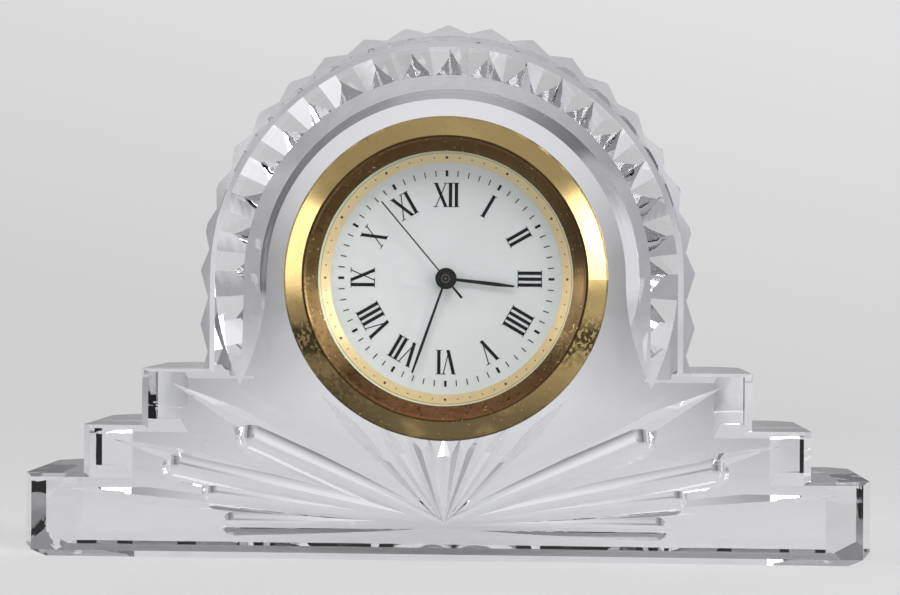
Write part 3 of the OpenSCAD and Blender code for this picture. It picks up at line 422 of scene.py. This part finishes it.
# glass and metal see a card behind the clock, in a dim room with a lit ceiling, and at each side a grey wall
# and two tall soft tubes; the camera sees a pale backdrop with painted shade, darker low down and to the
# left; spans are in parts of a ray's unit direction
studio = {
    "pale": (0.753, 0.753, 0.753), "shaded": (0.631, 0.631, 0.631),  # backdrop
    "paleSlope": (0.35, 1.6), "paleSpan": (-0.063, 0.243),
    "room": (0.15, 0.15, 0.163), "front": (0.34, 0.34, 0.355), "frontSpan": (-0.4, 0.2),
    "ceiling": (0.56, 0.56, 0.58), "skylight": (0.85, 0.85, 0.86), "skySpan": (0, 0.4),
    "ceilingFrom": (0.3, 0.8),
    "wall": (0.42, 0.42, 0.435), "wallIn": (0.265, 0.295), "wallOut": (0.66, 0.76),
    "tubes": (  # middle, half width of the core, half width with its soft edge, glow
        (0.545, 0.02, 0.06, (0.97, 0.97, 0.99)),
        (0.41, 0.02, 0.055, (0.76, 0.76, 0.78)),
    ),
    "tubeTop": (0.45, 0.8),
    "card": (0.03, 0.26), "cardTall": 0.5, "cardHigh": (0.85, 0.85, 0.87), "cardEnd": (0.1, 0.14),
    "cardLow": (0.42, 0.42, 0.415), "lowSide": (0.045, 0.085), "lowTall": (0.012, 0.062),  # beside the bezel
    "fill": (0.58, 0.58, 0.58),  # what plain surfaces are lit by
}


def surround():
    world = bpy.data.worlds.new("studio")
    bpy.context.scene.world = world
    finish = Finish(world)
    way = finish.node("TexCoord", out="Generated")
    deep = finish.node("SeparateXYZ", {}, {0: way}, "Y")
    across, z = deep.beside("X"), deep.beside("Z")
    slant = camera["x"] / camera["away"]  # the card and the room are square to the camera
    x, y = across + deep * slant, deep - across * slant
    side = abs(x)
    behind = y > 0
    right, up = studio["paleSlope"]
    # painted shade on the backdrop: darker low down and to the left
    pale = finish.ramp(x * right + z * up, *studio["paleSpan"])
    pale = finish.blend(pale, studio["shaded"], studio["pale"])
    room = finish.blend(finish.ramp(y, *studio["frontSpan"]), studio["front"], studio["room"])
    over = finish.blend(finish.ramp(y, *studio["skySpan"]), studio["ceiling"], studio["skylight"])
    room = finish.blend(finish.ramp(z, *studio["ceilingFrom"]), room, over)
    wall = finish.ramp(side, *studio["wallIn"]) * finish.fade(side, *studio["wallOut"]) * behind
    room = finish.blend(wall, room, studio["wall"])
    for middle, core, soft, glow in studio["tubes"]:
        tube = finish.fade(abs(side - middle), core, soft) * behind
        room = finish.blend(tube * finish.fade(z, *studio["tubeTop"]), room, glow)
    card = finish.fade(finish.length(x, z * studio["cardTall"]), *studio["card"]) * behind
    beside = finish.ramp(side, *studio["lowSide"]) * finish.fade(abs(z), *studio["lowTall"])
    lit = finish.blend(beside, studio["cardHigh"], studio["cardLow"])
    lit = finish.blend(finish.ramp(side, *studio["cardEnd"]), lit, studio["shaded"])
    seen = finish.blend(card, room, lit)
    direct = finish.node("LightPath", out="Is Camera Ray")
    bent = finish.most(direct.beside("Is Glossy Ray"), direct.beside("Is Transmission Ray"))
    colour = finish.blend(direct, finish.blend(bent, studio["fill"], seen), pale)
    finish.show(finish.node("Background", {}, {"Color": colour, "Strength": 1.0}))


surround()

# soft lamps: place, size and power; all point at the middle of the clock
lamps = {
    "boxLeft": ((-0.75, -0.15, 0.22), (0.12, 0.45), 1.3),
    "boxRight": ((0.75, -0.2, 0.28), (0.12, 0.45), 2.5),
    "boxTop": ((0.1, -0.6, 0.85), (0.5, 0.3), 2.2),
    "backLeft": ((-0.6, 0.75, 0.3), (0.2, 0.5), 1.2),
    "backRight": ((0.6, 0.75, 0.3), (0.2, 0.5), 1.2),
    "stripLeft": ((-0.5, -0.62, 0.2), (0.06, 0.5), 0.35),
    "stripRight": ((0.55, -0.55, 0.1), (0.06, 0.4), 0.35),
}
lampTarget = Vector((0, 0, 0.05))


def lamp(name, place, size, power):
    light = bpy.data.lights.new(name, "AREA")
    light.shape, light.energy = "RECTANGLE", power
    light.size, light.size_y = size
    thing = bpy.data.objects.new(name, light)
    bpy.context.scene.collection.objects.link(thing)
    thing.location = place
    thing.rotation_euler = (lampTarget - Vector(place)).to_track_quat("-Z", "Y").to_euler()
    thing.visible_camera = False


for name, look in lamps.items():
    lamp(name, *look)

# floor that fades into the backdrop
floor = {"half": 0.8, "colour": (0.695, 0.695, 0.7), "fade": (0.12, 0.6)}


def floorFinish():
    finish = Finish(bpy.data.materials.new("floorPaint"))
    x = finish.node("SeparateXYZ", {}, {0: finish.place()}, "X")
    away = finish.ramp(finish.length(x, x.beside("Y")), *floor["fade"])
    paint = finish.node("BsdfDiffuse", {}, {"Color": floor["colour"]})
    clear = finish.node("BsdfTransparent")
    finish.show(finish.node("MixShader", {}, {0: away, 1: paint, 2: clear}))
    return finish.owner


half = floor["half"]
corners = [(-half, -half, 0), (half, -half, 0), (half, half, 0), (-half, half, 0)]
floorMesh = bpy.data.meshes.new("floor")
floorMesh.from_pydata(corners, [], [(0, 1, 2, 3)])
floorMesh.materials.append(floorFinish())
ground = bpy.data.objects.new("floor", floorMesh)
bpy.context.scene.collection.objects.link(ground)

bpy.context.scene.view_settings.view_transform = "Standard"
print("studio set")
